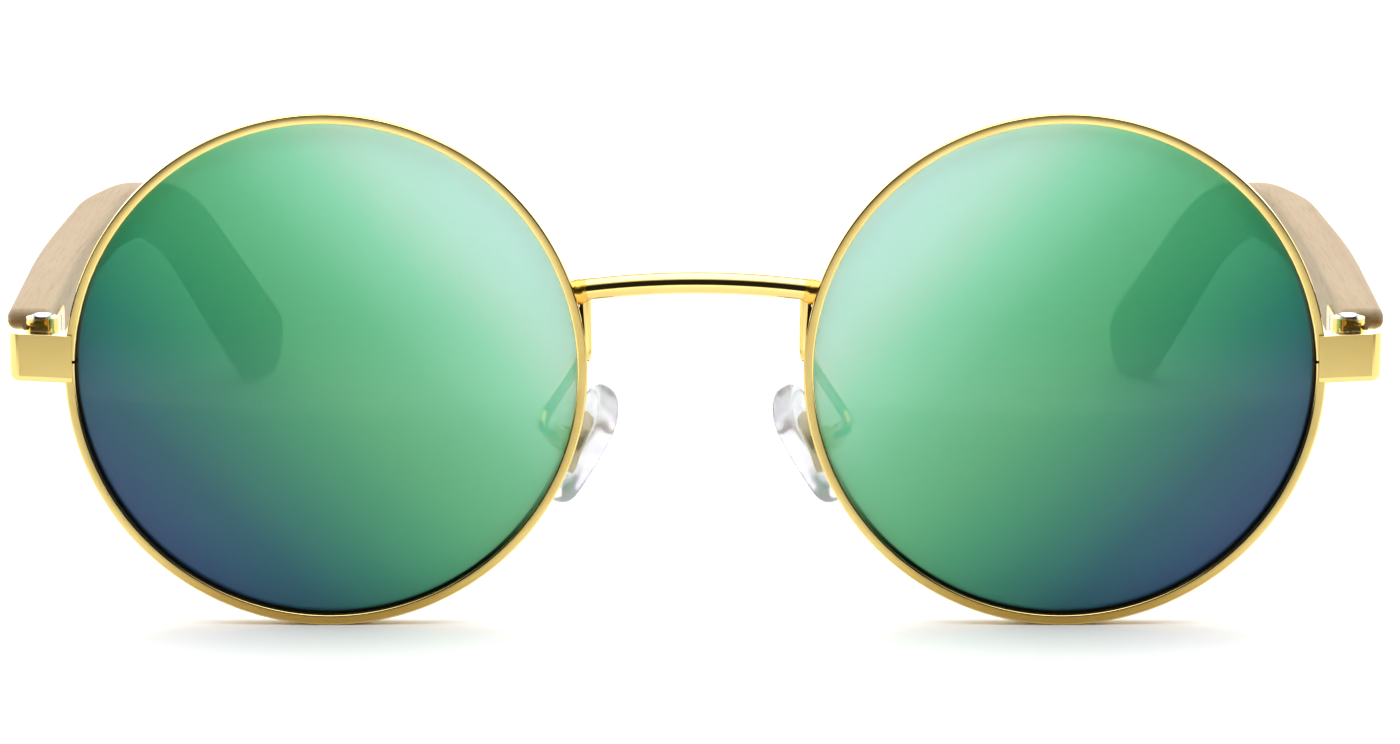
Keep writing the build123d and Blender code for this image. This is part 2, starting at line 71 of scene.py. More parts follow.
# %% [markdown]
# ## The sizes that the pieces share
#
# A maker of such a frame works from a few sizes: the lens opening, the wire that is bent round it,
# and how far the front leans over the cheeks. The places come from the frame, and only the shape
# of a section, which a box can't tell, is written here. Two points closer than a hair, which is a
# thousandth of a millimetre, are taken to be at one place.

# %% Shared sizes
front_lean = math.radians(1.4)
wire_width = 1.0 * mm
wire_depth = 2.3 * mm
wire_edge = 0.15 * mm
groove_depth = 0.5 * mm
groove_width = 1.3 * mm
groove_offset = 0.3 * mm
split_gap = 0.3 * mm
split_rise = 1.35 * mm

lens_radius = 130.0 * mm
lens_thickness = 1.9 * mm
lens_gap = 0.06 * mm
lens_front_offset = -0.2 * mm

sides = {"left": 1, "right": -1}


def middle(node):
    """The middle of a node's box."""
    low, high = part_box(node)
    return (low + high) / 2


ring_outer_radius = (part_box("left_rim")[1].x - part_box("left_rim")[0].x) / 2
ring_inner_radius = ring_outer_radius - wire_width
print("lens opening", round(2 * ring_inner_radius / mm, 2), "mm")

# %% [markdown]
# ## Working by hand in edit mode
#
# Loading leaves every node selected, and an operator acts on all that is selected. So each piece
# starts from nothing selected, and these helpers pick vertices, edges and faces by their place.
# Every piece is finished the same way: its place goes into its mesh, its doubles are merged, and
# its faces are turned outwards.


# %% Selecting
def start_clean():
    """Object mode, with nothing selected."""
    if bpy.context.object is not None and bpy.context.object.mode != "OBJECT":
        bpy.ops.object.mode_set(mode="OBJECT")
    bpy.ops.object.select_all(action="DESELECT")


def pick(piece, domain, test):
    """In edit mode, select only the vertices, edges or faces whose middle passes the test."""
    bpy.ops.object.mode_set(mode="OBJECT")
    mesh = piece.data
    for vertex in mesh.vertices:
        vertex.select = domain == "VERT" and test(vertex.co)
    for edge in mesh.edges:
        ends = [mesh.vertices[i].co for i in edge.vertices]
        edge.select = domain == "EDGE" and test((ends[0] + ends[1]) / 2)
        if edge.select:
            for i in edge.vertices:
                mesh.vertices[i].select = True
    for face in mesh.polygons:
        face.select = domain == "FACE" and test(face.center)
        if face.select:
            for i in face.vertices:
                mesh.vertices[i].select = True
    bpy.ops.object.mode_set(mode="EDIT")
    bpy.ops.mesh.select_mode(type=domain)


def carry(piece, start, goal):
    """Move the vertices at one place to another."""
    pick(piece, "VERT", lambda point: (point - start).length < hair)
    bpy.ops.transform.translate(value=goal - start)


# %% Finishing a mesh
def bake_place(piece):
    """The object goes to the origin, unturned and unscaled, and its place goes into its mesh."""
    bpy.ops.object.mode_set(mode="OBJECT")
    bpy.ops.object.transform_apply(location=True, rotation=True, scale=True)


def close_up(piece, angle=30.0):
    """Merge doubles, turn the faces outwards, and shade smooth except at sharp edges."""
    bpy.ops.object.mode_set(mode="EDIT")
    bpy.ops.mesh.select_all(action="SELECT")
    bpy.ops.mesh.remove_doubles(threshold=2 * hair)
    bpy.ops.mesh.normals_make_consistent(inside=False)
    bpy.ops.object.mode_set(mode="OBJECT")
    bpy.ops.object.shade_smooth_by_angle(angle=math.radians(angle))


def report(piece):
    """Print a piece's name, size and number of faces."""
    size = piece.dimensions / mm
    print(piece.name, [round(s, 2) for s in size], "mm,", len(piece.data.polygons), "faces")


print("selected after loading", len(bpy.context.selected_objects))
start_clean()
print("selected after a clean start", len(bpy.context.selected_objects))

# %% [markdown]
# ## Node trees as sums
#
# A finish is a small calculation over the surface. It could be wired node by node, but that hides
# the sum. So one class wraps a socket, and the calculation reads as a sum, and one method adds
# every other kind of node.


# %% A socket in sums
class Signal:
    """A socket's value, which can be used in sums."""

    def __init__(self, tree, socket):
        self.tree = tree
        self.socket = socket

    def math(self, operation, *values):
        """A Math node on these values."""
        return self.tree.node("ShaderNodeMath", {"operation": operation}, dict(enumerate(values)))

    def __add__(self, other):
        return self.math("ADD", self, other)

    def __radd__(self, other):
        return self.math("ADD", other, self)

    def __sub__(self, other):
        return self.math("SUBTRACT", self, other)

    def __rsub__(self, other):
        return self.math("SUBTRACT", other, self)

    def __mul__(self, other):
        return self.math("MULTIPLY", self, other)

    def __rmul__(self, other):
        return self.math("MULTIPLY", other, self)

    def __pow__(self, other):
        return self.math("POWER", self, other)


# %% A node tree
class Tree:
    """A node tree that is being built."""

    def __init__(self, node_tree):
        self.node_tree = node_tree
        self.node_tree.nodes.clear()

    def feed(self, socket, value):
        """Give a socket a value, or link it."""
        if isinstance(value, Signal):
            self.node_tree.links.new(value.socket, socket)
        else:
            socket.default_value = value

    def node(self, kind, settings=None, inputs=None, output=0):
        """Add a node: its settings first, then its sockets. Gives back the output that is named."""
        new = self.node_tree.nodes.new(kind)
        for name, value in (settings or {}).items():
            if name == "stops":
                self.set_stops(new.color_ramp, value)
            else:
                setattr(new, name, value)
        for name, value in (inputs or {}).items():
            self.feed(new.inputs[name], value)
        return Signal(self, new.outputs[output]) if len(new.outputs) else new

    def set_stops(self, ramp, stops):
        """Fill a colour ramp from (position, colour) pairs."""
        while len(ramp.elements) < len(stops):
            ramp.elements.new(1.0)
        for element, (position, colour) in zip(ramp.elements, stops):
            element.position = position
            element.color = (*colour, 1.0)

    def ramp(self, value, stops):
        """A colour that depends on a value from 0 to 1."""
        return self.node("ShaderNodeValToRGB", {"stops": stops}, {"Fac": value})

    def blend(self, factor, first, second):
        """Mix two colours."""
        inputs = {0: factor, 6: first, 7: second}
        return self.node("ShaderNodeMix", {"data_type": "RGBA"}, inputs, 2)

    def clamped(self, value, low, high):
        """A value's way from low to high, as 0 to 1, smoothed at both ends."""
        settings = {"interpolation_type": "SMOOTHSTEP"}
        inputs = {"Value": value, "From Min": low, "From Max": high}
        return self.node("ShaderNodeMapRange", settings, inputs)

    def place(self):
        """The point's own coordinates on the object, in metres."""
        return self.node("ShaderNodeTexCoord", output="Object")

    def split(self, vector):
        """The x, y and z of a vector."""
        new = self.node_tree.nodes.new("ShaderNodeSeparateXYZ")
        self.feed(new.inputs[0], vector)
        return [Signal(self, socket) for socket in new.outputs]

    def stretched(self, vector, scale):
        """The vector with each part scaled."""
        return self.node("ShaderNodeVectorMath", {"operation": "MULTIPLY"}, {0: vector, 1: scale})

    def noise(self, vector, scale, detail=2.0, roughness=0.5):
        """Cloudy noise from 0 to 1."""
        inputs = {"Vector": vector, "Scale": scale, "Detail": detail, "Roughness": roughness}
        return self.node("ShaderNodeTexNoise", {"normalize": True}, inputs)

    def bump(self, height, distance, strength=1.0):
        """A normal that leans as the height says."""
        inputs = {"Height": height, "Distance": distance, "Strength": strength}
        return self.node("ShaderNodeBump", None, inputs)


# %% A finish
class Finish(Tree):
    """A material with one Principled shader."""

    def __init__(self, name):
        self.material = bpy.data.materials.new(name)
        self.material.use_nodes = True
        super().__init__(self.material.node_tree)
        self.shader = self.node_tree.nodes.new("ShaderNodeBsdfPrincipled")
        self.out = self.node_tree.nodes.new("ShaderNodeOutputMaterial")
        self.node_tree.links.new(self.shader.outputs[0], self.out.inputs[0])

    def lay_over(self, other, amount):
        """Mix this much of another shader into the surface."""
        both = self.node("ShaderNodeMixShader", None, {0: amount, 2: other})
        self.node_tree.links.new(self.shader.outputs[0], both.socket.node.inputs[1])
        self.node_tree.links.new(both.socket, self.out.inputs[0])

    def give(self, **values):
        """Set the shader's sockets, with underscores for the spaces in their names."""
        for name, value in values.items():
            self.feed(self.shader.inputs[name.replace("_", " ")], value)


print("ready to write finishes with", Signal.__name__, Tree.__name__, Finish.__name__)

# %% [markdown]
# ## Gold plate
#
# The wire and fittings are plated with a pale gold. The front of the rims and corners is brushed
# satin, and the rest is polished. It is one metal: roughness and a very fine bump differ. The
# plating's colour drifts a little over a few millimetres, as a real bath leaves it. Low on the
# rims, near the table, the satin is painted browner as shade, and the solder at the bridge's ends
# is more orange and uneven.


# %% Gold finishes
gold_tone = (0.82, 0.625, 0.225, 1.0)
gold_warm = (0.76, 0.49, 0.13, 1.0)
# Painted shade: near the table the satin is darkened to bronze, from 9 mm above it down to 1 mm.
painted_shade_bronze = (0.56, 0.34, 0.08, 1.0)
solder_tones = ((0.83, 0.50, 0.09, 1.0), (0.55, 0.27, 0.03, 1.0))
painted_shade_full = 1 * mm
painted_shade_start = 9 * mm


def gold(name, roughness, brushed, lowest=None, colours=(gold_tone, gold_warm)):
    """Gold plate, from polished to satin. If lowest is given, a painted shade darkens it to bronze
    down there.
    """
    finish = Finish(name)
    spot = finish.place()
    drift = finish.noise(spot, 180.0, 2.0)
    smear = finish.noise(spot, 2600.0, 3.0, 0.6)
    tone = finish.blend(finish.clamped(drift, 0.35, 0.75) * 0.35, *colours)
    # Painted shade: close to the lowest point the colour is blended towards bronze.
    if lowest is not None:
        x, y, z = finish.split(spot)
        painted_low_shade = finish.clamped(z, lowest + painted_shade_start, lowest + painted_shade_full)
        tone = finish.blend(painted_low_shade, tone, painted_shade_bronze)
    rough = roughness + (smear - 0.5) * (0.25 * roughness) + (drift - 0.5) * 0.04
    finish.give(
        Base_Color=tone,
        Metallic=1.0,
        Roughness=rough,
        Normal=finish.bump(smear, brushed * mm),
    )
    return finish.material


# The satin gold carries the painted shade low on the rims.
satin_gold = gold("satin_gold", 0.34, 0.0016, cad_box[0].z)
polished_gold = gold("polished_gold", 0.09, 0.0002)
plain_gold = gold("plain_gold", 0.2, 0.0008)
solder_gold = gold("solder_gold", 0.22, 0.03, colours=solder_tones)
golds = (satin_gold, polished_gold, plain_gold, solder_gold)
print("gold finishes", [finish.name for finish in golds])

# %% [markdown]
# ## Screw steel, pad insert
#
# The screws are turned steel: bright, with a very fine grain in colour, gloss and bump. The insert
# in each pad is a stamped brass plate, browner than the plating.


# %% Small metal finishes
def turned_steel():
    """Bright steel with a fine grain."""
    finish = Finish("turned_steel")
    grain = finish.noise(finish.place(), 5200.0, 2.0)
    finish.give(
        Base_Color=finish.blend(grain, (0.62, 0.62, 0.63, 1.0), (0.74, 0.74, 0.74, 1.0)),
        Metallic=1.0,
        Roughness=0.16 + grain * 0.12,
        Normal=finish.bump(grain, 0.0006 * mm),
    )
    return finish.material


def stamped_brass():
    """The brown-gold of the insert inside a pad."""
    finish = Finish("stamped_brass")
    grain = finish.noise(finish.place(), 2400.0, 3.0)
    finish.give(
        Base_Color=finish.blend(grain, (0.62, 0.44, 0.22, 1.0), (0.80, 0.62, 0.36, 1.0)),
        Metallic=1.0,
        Roughness=0.3 + grain * 0.15,
    )
    return finish.material


steel = turned_steel()
insert_brass = stamped_brass()
print("small metal finishes", steel.name, insert_brass.name)

# %% [markdown]
# ## Mirror lens
#
# The lens is tinted plastic with an interference coating. Its colour runs from pale green at the
# top, through full green, to teal and blue-violet at the lower outer edge. This is partly the
# coating's own colour, which depends on its thickness as the coater varies it over the lens, and
# partly painted
# reflection: a painted whitish glow at the upper inner side, and the dark room mirrored as painted
# darkness low and outwards. One colour ramp runs down and outwards over the lens, and a thin dark
# line of painted shade follows the edge on the lower outer side. What the coating reflects is
# greener, and what comes through the tinted body is rosier, so the wood behind the lens shows as a
# deeper green.


# %% Lens finish
outward_weight = 0.303
downward_weight = 0.95
middle_tone = 0.515
# Partly the coating's colour and partly painted reflection: the whitish first stop is a painted
# glow, and the darkest stops paint the dark room mirrored low and outwards.
coating_and_reflection_tones = [
    (0.10, (1.0, 1.0, 0.95)),
    (0.20, (0.74, 0.94, 0.80)),
    (0.30, (0.40, 0.82, 0.55)),
    (0.40, (0.225, 0.65, 0.36)),
    (0.50, (0.150, 0.53, 0.255)),
    (0.60, (0.080, 0.40, 0.205)),
    (0.70, (0.040, 0.265, 0.185)),
    (0.80, (0.021, 0.140, 0.185)),
    (0.90, (0.018, 0.080, 0.200)),
    (1.00, (0.018, 0.052, 0.195)),
]
# Painted shade: the dark line along the lower outer edge of the lens, where the rim's wall shades
# it.
painted_edge_shade_tone = (0.006, 0.006, 0.008, 1.0)
mirror_tint = (0.6, 1.25, 1.2)
body_tint = (1.5, 0.8, 0.85)
body_share = 0.42


def mirror_lens(side):
    """The finish of one lens. side is 1 for the wearer's left and -1 for the right."""
    name = "left" if side > 0 else "right"
    finish = Finish("mirror_lens_" + name)
    centre = middle(name + "_rim")
    x, y, z = finish.split(finish.place())
    outward = (x - centre.x) * (side / ring_inner_radius)
    downward = (centre.z - z) * (1.0 / ring_inner_radius)
    sweep = (outward + downward * downward_weight) * outward_weight + middle_tone
    # The ramp carries the coating's colour together with the painted glow and painted reflection of
    # the dark room.
    tone = finish.ramp(sweep, coating_and_reflection_tones)
    # Painted shade: a thin dark line along the lower outer edge, where the rim's inner wall shades
    # the lens.
    reach = (outward * outward + downward * downward) ** 0.5
    shaded_side = finish.clamped(downward + outward * 0.5, -0.2, 0.5)
    tone = finish.blend(finish.clamped(reach, 0.985, 0.990) * shaded_side, tone, painted_edge_shade_tone)
    finish.give(
        Base_Color=finish.stretched(tone, mirror_tint),
        Roughness=0.28,
        Specular_IOR_Level=0.3,
        Coat_Weight=0.1,
        Coat_Roughness=0.02,
    )
    body = finish.node(
        "ShaderNodeBsdfPrincipled",
        None,
        {
            "Base Color": finish.stretched(tone, body_tint),
            "Roughness": 0.015,
            "IOR": 1.5,
            "Transmission Weight": 1.0,
            "Specular IOR Level": 0.15,
        },
    )
    finish.lay_over(body, body_share)
    return finish.material


lens_finish = {name: mirror_lens(side) for name, side in sides.items()}
print("lens finishes", [finish.name for finish in lens_finish.values()])

# %% [markdown]
# ## Clear soft plastic
#
# The pads are moulded in clear silicone: almost no colour, a faint lilac where it is thick, and a
# skin that is slightly uneven from the mould.


# %% Pad finish
def clear_plastic():
    """Clear, faintly lilac, slightly uneven."""
    finish = Finish("clear_plastic")
    wave = finish.noise(finish.place(), 420.0, 1.0)
    cloud = finish.clamped(wave, 0.35, 0.65)
    finish.give(
        Base_Color=finish.blend(cloud, (0.68, 0.675, 0.73, 1.0), (0.86, 0.85, 0.89, 1.0)),
        Roughness=0.10 + wave * 0.08,
        IOR=1.3,
        Transmission_Weight=0.74,
        Normal=finish.bump(wave, 0.01 * mm),
    )
    return finish.material


pad_plastic = clear_plastic()
print("pad finish", pad_plastic.name)

# %% [markdown]
# ## Bamboo
#
# The temples are laminated bamboo. Its fibres all run lengthwise: thin darker threads in a pale
# beige ground, with broader, softer stripes where the strips were glued. The surface is sanded and
# oiled, so it is matt with a very fine lengthwise bump.


# %% Bamboo finish
def bamboo():
    """Pale bamboo with fibres along Y."""
    finish = Finish("bamboo")
    spot = finish.place()
    threads = finish.noise(finish.stretched(spot, (1.0, 0.03, 1.0)), 5200.0, 2.0, 0.55)
    strips = finish.noise(finish.stretched(spot, (1.0, 0.02, 1.0)), 900.0, 2.0)
    cloud = finish.noise(spot, 90.0, 2.0)
    ground = finish.blend(cloud, (0.415, 0.305, 0.190, 1.0), (0.455, 0.345, 0.225, 1.0))
    in_strip = finish.clamped(strips, 0.4, 0.75) * 0.4
    striped = finish.blend(in_strip, ground, (0.35, 0.24, 0.145, 1.0))
    in_thread = finish.clamped(threads, 0.5, 0.8) * 0.45
    tone = finish.blend(in_thread, striped, (0.27, 0.18, 0.10, 1.0))
    finish.give(
        Base_Color=tone,
        Roughness=0.55 + threads * 0.16,
        Specular_IOR_Level=0.2,
        Normal=finish.bump(threads + strips * 0.5, 0.012 * mm, 0.6),
    )
    return finish.material


bamboo_wood = bamboo()
print("wood finish", bamboo_wood.name, "- finishes in all", len(bpy.data.materials))

# %% [markdown]
# ## The rims
#
# An eye wire is drawn to its section, with the lens groove already in it, and bent round a former.
# The same is done here: a small plane becomes the section, its corners are rounded, the groove is
# pulled out of its inner edge, and the section is spun round the lens's axis from one side of the
# split to the other. The ends stay closed, so the split is a real cut.


# %% Wire section
def wire_section():
    """A flat section of the wire, beside the axis of its ring: x goes outwards and y is depth."""
    start_clean()
    bpy.ops.mesh.primitive_plane_add(size=1.0, location=(ring_inner_radius + wire_width / 2, 0, 0))
    piece = bpy.context.object
    piece.scale = (wire_width, wire_depth, 1.0)
    bake_place(piece)
    pick(piece, "VERT", lambda point: True)
    bpy.ops.mesh.bevel(offset=wire_edge, segments=3, affect="VERTICES")
    pick(piece, "EDGE", lambda point: abs(point.x - ring_inner_radius) < hair)
    bpy.ops.mesh.subdivide(number_cuts=3)
    quarter = (wire_depth / 2 - wire_edge) / 2
    for place in (-1, 0, 1):
        depth = groove_depth if place == 0 else 0
        start = Vector((ring_inner_radius, place * quarter, 0))
        goal = Vector((ring_inner_radius + depth, groove_offset + place * groove_width / 2, 0))
        carry(piece, start, goal)
    return piece


# %% Rim
rim_steps = 240


def make_rim():
    """The left rim: the section spun round, all but the split, with a satin front band."""
    rim = wire_section()
    rim.name = "left_eye_wire"
    radius = ring_inner_radius + wire_width / 2
    gap_angle = split_gap / radius
    pick(rim, "FACE", lambda point: True)
    turn = 2 * math.pi - gap_angle
    bpy.ops.mesh.spin(steps=rim_steps, angle=turn, center=(0, 0, 0), axis=(0, 1, 0))
    close_up(rim)
    rim.data.materials.append(polished_gold)
    rim.data.materials.append(satin_gold)
    for face in rim.data.polygons:
        face.material_index = 1 if face.center.y < -wire_depth / 2 + 10 * hair else 0
    rim.rotation_euler.y = gap_angle / 2 - math.asin(split_rise / radius)
    bake_place(rim)
    return rim


rim = make_rim()
report(rim)

# %% [markdown]
# ## Putting pieces in their places
#
# A piece made about its own middle is leant with the front, moved to where the frame has the same
# node, and baked, so that its object stays at the origin. The right side is a mirrored copy with
# its own mesh. Each piece then rides on the node's body and stands for the node.


# %% Riding and standing for a node
bodies = frame["record"]["behaviour"]["bodies"]
body_for = {node: body for body, nodes in bodies.items() for node in nodes}


def stand_for(piece, node):
    """The piece rides on the node's body and is shown instead of it."""
    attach(piece, body_for[node])
    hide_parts(node)
    report(piece)


# %% Settling
def settle(piece, node, turn=None):
    """Lean or turn a piece, and put the middle of its box where the node's is."""
    start_clean()
    piece.select_set(True)
    bpy.context.view_layer.objects.active = piece
    piece.rotation_euler = (front_lean, 0, 0) if turn is None else turn
    bake_place(piece)
    corners = [vertex.co for vertex in piece.data.vertices]
    low = Vector([min(c[i] for c in corners) for i in range(3)])
    high = Vector([max(c[i] for c in corners) for i in range(3)])
    piece.location = middle(node) - (low + high) / 2
    bake_place(piece)


# %% Mirroring
def mirror_of(piece, name):
    """The same piece for the other side, with its own mesh and its faces turned out again."""
    start_clean()
    other = piece.copy()
    other.data = piece.data.copy()
    other.name = name
    bpy.context.collection.objects.link(other)
    other.select_set(True)
    bpy.context.view_layer.objects.active = other
    other.scale.x = -1
    bake_place(other)
    bpy.ops.object.mode_set(mode="EDIT")
    bpy.ops.mesh.select_all(action="SELECT")
    bpy.ops.mesh.normals_make_consistent(inside=False)
    bpy.ops.object.mode_set(mode="OBJECT")
    return other


def pair(piece, part):
    """The left piece and its mirrored copy both stand for their nodes."""
    name = piece.name.replace("left_", "right_")
    other = mirror_of(piece, name)
    stand_for(piece, "left_" + part)
    stand_for(other, "right_" + part)
    return piece, other


# %% The two rims
settle(rim, "left_rim")
pair(rim, "rim")

# %% [markdown]
# ## The lenses
#
# A lens blank is cut round and its edge is ground to a V that sits in the rim's groove. A strip
# one lens thick is laid from the axis to the edge, its outer end is drawn to the V, it is sagged to
# the sphere, and its outline is spun round the axis. No operator sags a strip to a given sphere,
# so each point is moved back by the sphere's own formula. Spinning gives even facets, which keep
# reflections smooth.


# %% Lens outline
lens_strip_cuts = 28
lens_steps = 180
lens_edge_radius = ring_inner_radius - lens_gap


def sag_at(radius):
    """How far a sphere falls behind its pole at this distance from the axis."""
    return lens_radius - math.sqrt(lens_radius**2 - radius**2)


def lens_outline():
    """Half the lens's outline, from the axis round its edge and back: x outwards, y depth."""
    start_clean()
    middle_y = lens_front_offset + lens_thickness / 2
    bpy.ops.mesh.primitive_grid_add(x_subdivisions=lens_strip_cuts, y_subdivisions=1, size=1.0)
    lens = bpy.context.object
    lens.name = "left_mirror_lens"
    lens.scale = (lens_edge_radius, lens_thickness, 1.0)
    lens.location = (lens_edge_radius / 2, middle_y, 0)
    bake_place(lens)
    pick(lens, "EDGE", lambda point: point.x > lens_edge_radius - hair)
    bpy.ops.mesh.subdivide(number_cuts=3)
    pick(lens, "FACE", lambda point: True)
    bpy.ops.mesh.delete(type="ONLY_FACE")
    quarter = lens_thickness / 4
    inner_x = lens_edge_radius - hair
    pick(lens, "EDGE", lambda p: p.x < inner_x and abs(p.y - middle_y) < quarter / 2)
    bpy.ops.mesh.delete(type="EDGE")
    half_bevel = groove_width / 2 - lens_gap
    bevel = ((-1, -half_bevel / 2), (0, 0.0), (1, half_bevel))
    for place, shift in bevel:
        depth = groove_depth if place == 0 else 0
        start = Vector((lens_edge_radius, middle_y + place * quarter, 0))
        carry(lens, start, Vector((lens_edge_radius + depth, groove_offset + shift, 0)))
    bpy.ops.object.mode_set(mode="OBJECT")
    for vertex in lens.data.vertices:
        vertex.co.y -= sag_at(lens_edge_radius) - sag_at(min(vertex.co.x, lens_edge_radius))
    return lens


# %% Lens
def make_lens():
    """The left lens, about the middle of its rim."""
    lens = lens_outline()
    pick(lens, "EDGE", lambda point: True)
    bpy.ops.mesh.spin(steps=lens_steps, angle=2 * math.pi, center=(0, 0, 0), axis=(0, 1, 0))
    close_up(lens, 20.0)
    bpy.ops.object.mode_set(mode="EDIT")
    bpy.ops.mesh.select_all(action="SELECT")
    bpy.ops.mesh.dissolve_degenerate(threshold=hair)
    bpy.ops.object.mode_set(mode="OBJECT")
    return lens


lens = make_lens()
settle(lens, "left_lens")
left_lens, right_lens = pair(lens, "lens")
for piece, name in ((left_lens, "left"), (right_lens, "right")):
    piece.data.materials.clear()
    piece.data.materials.append(lens_finish[name])

# %% [markdown]
# ## The nose pads
#
# A pad is a soft teardrop, broad at the top, with a gently rounded nose side. Half of a short
# cylinder is drawn out and narrowed for the lower end, the edges are rounded, and the whole is
# remeshed evenly so that it can be bowed like the real one without creases. A bend would tilt its
# ends, so each point is moved back by the square of its distance from the middle instead.


# %% Pad
pad_length = 13.0 * mm
pad_top_width = 7.2 * mm
pad_bottom_width = 4.6 * mm
pad_thickness = 2.2 * mm
pad_edge = 0.8 * mm
pad_bow = 0.45 * mm
pad_frontal_angle = math.radians(25.0)
pad_splay_angle = math.radians(20.0)
pad_voxel = 0.2 * mm


def make_pad():
    """The left pad, lying flat: x back across it, y down its length, z out of its nose side."""
    start_clean()
    top_radius = pad_top_width / 2
    bottom_radius = pad_bottom_width / 2
    bpy.ops.mesh.primitive_cylinder_add(vertices=64, radius=top_radius, depth=pad_thickness)
    pad = bpy.context.object
    pad.name = "left_soft_pad"
    pick(pad, "VERT", lambda point: point.y > 10 * hair)
    narrowing = bottom_radius / top_radius
    bpy.ops.transform.resize(value=(narrowing, narrowing, 1), center_override=(0, 0, 0))
    bpy.ops.transform.translate(value=(0, pad_length - top_radius - bottom_radius, 0))
    bpy.ops.mesh.select_all(action="SELECT")
    bpy.ops.transform.translate(value=(0, top_radius - pad_length / 2, 0))
    pick(pad, "EDGE", lambda point: abs(abs(point.z) - pad_thickness / 2) < 10 * hair)
    bpy.ops.mesh.bevel(offset=pad_edge, segments=5, affect="EDGES")
    bpy.ops.object.mode_set(mode="OBJECT")
    even = pad.modifiers.new("even", "REMESH")
    even.mode = "VOXEL"
    even.voxel_size = pad_voxel
    soft = pad.modifiers.new("soft", "SMOOTH")
    soft.factor = 0.5
    soft.iterations = 8
    for modifier in ("even", "soft"):
        bpy.ops.object.modifier_apply(modifier=modifier)
    for vertex in pad.data.vertices:
        along = vertex.co.y / (pad_length / 2)
        vertex.co.z -= pad_bow * along * along
    close_up(pad, 80.0)
    return pad


# %% Turning and placing the pads
def pad_turn():
    """How the left pad is turned from lying flat to its place."""
    outwards = Vector((math.cos(pad_frontal_angle), 0, math.sin(pad_frontal_angle)))
    backwards = Vector((0, 1, 0))
    facing = backwards * math.sin(pad_splay_angle) - outwards * math.cos(pad_splay_angle)
    across = backwards * math.cos(pad_splay_angle) + outwards * math.sin(pad_splay_angle)
    down = facing.cross(across)
    turned = Matrix((across, down, facing)).transposed()
    return (Matrix.Rotation(front_lean, 3, "X") @ turned).to_euler()


pad = make_pad()
pad.data.materials.append(pad_plastic)
settle(pad, "left_nose_pad", pad_turn())
for piece in pair(pad, "nose_pad"):
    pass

# %% [markdown]
# ## Fittings
#
# The bridge, corners, hinges, arms, screws and temples already have their true shape in the frame.
# Its meshes are loose triangles, so each fitting is a merged copy, shaded smooth except at its
# edges. Small bevels break the sharp edges of the corners and blocks, as tumbling before plating
# does. The corner's front is satin like the rims, and the bridge's ends have the solder's colour.


# %% One fitting
flat_angle = math.radians(1.0)
sharp_angle = 35.0


def fitting(node, finish, angle=sharp_angle, edge=0.0):
    """A merged, smooth copy of a node, with its edges broken by this much."""
    start_clean()
    source = frame["nodes"][node]
    piece = bpy.data.objects.new(node + "_made", source.data.copy())
    bpy.context.collection.objects.link(piece)
    piece.select_set(True)
    bpy.context.view_layer.objects.active = piece
    piece.data.materials.clear()
    piece.data.materials.append(finish)
    if piece.data.has_custom_normals:
        bpy.ops.mesh.customdata_custom_splitnormals_clear()
    close_up(piece, angle)
    if edge > 0:
        bpy.ops.object.mode_set(mode="EDIT")
        bpy.ops.mesh.select_all(action="SELECT")
        bpy.ops.mesh.dissolve_limited(angle_limit=flat_angle)
        bpy.ops.object.mode_set(mode="OBJECT")
        broken = piece.modifiers.new("broken_edges", "BEVEL")
        broken.width = edge
        broken.segments = 3
        broken.limit_method = "ANGLE"
        broken.angle_limit = math.radians(sharp_angle)
        broken.harden_normals = True
        bpy.ops.object.modifier_apply(modifier="broken_edges")
    stand_for(piece, node)
    return piece


# %% Bridge, and how a corner is made
bead_width = 1.75 * mm
corner_edge = 0.2 * mm
block_edge = 0.1 * mm
forward = -0.97


def second_finish(piece, finish, test):
    """Give the faces that pass the test a second finish."""
    piece.data.materials.append(finish)
    for face in piece.data.polygons:
        face.material_index = 1 if test(face) else 0


bead_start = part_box("bridge")[1].x - bead_width
bridge = fitting("bridge", polished_gold)
second_finish(bridge, solder_gold, lambda face: abs(face.center.x) > bead_start)


def make_corner(side_name):
    """The corner, satin in front, and the two blocks behind it that close the rim."""
    corner = fitting(side_name + "_end_piece", polished_gold, edge=corner_edge)
    second_finish(corner, satin_gold, lambda face: face.normal.y < forward)
    fitting(side_name + "_upper_closing_block", plain_gold, edge=block_edge)
    fitting(side_name + "_lower_closing_block", plain_gold, edge=block_edge)


# %% Corners, hinges, pad fittings, screws and temples
plain_fittings = {
    "front_hinge": plain_gold,
    "temple_hinge": plain_gold,
    "pad_arm": polished_gold,
    "pad_box": plain_gold,
    "pad_core": insert_brass,
    "rim_screw": steel,
    "hinge_screw": steel,
    "temple_screws": steel,
    "pad_screw": steel,
}
wood_angle = 40.0
for side_name in sides:
    make_corner(side_name)
    for part, finish in plain_fittings.items():
        fitting(side_name + "_" + part, finish)
    fitting(side_name + "_temple", bamboo_wood, angle=wood_angle)

# %% [markdown]
# ## Table, light and camera
#
# Polished metal shows its surroundings, so the room matters. Lamps could light it, but a room
# painted by direction is softer and easier to shape. The table is white. In front of it and above
# the eye line the room is dark, which draws the dark line along the bridge and the rims. A broad
# soft ceiling with a hot middle, and a bright strip low at the back, give the white lines. Below
# the eye line the room is bright, which lights the satin bands. Seen straight, the backdrop is
# plain white. The camera has a long lens, a little above the sunglasses.

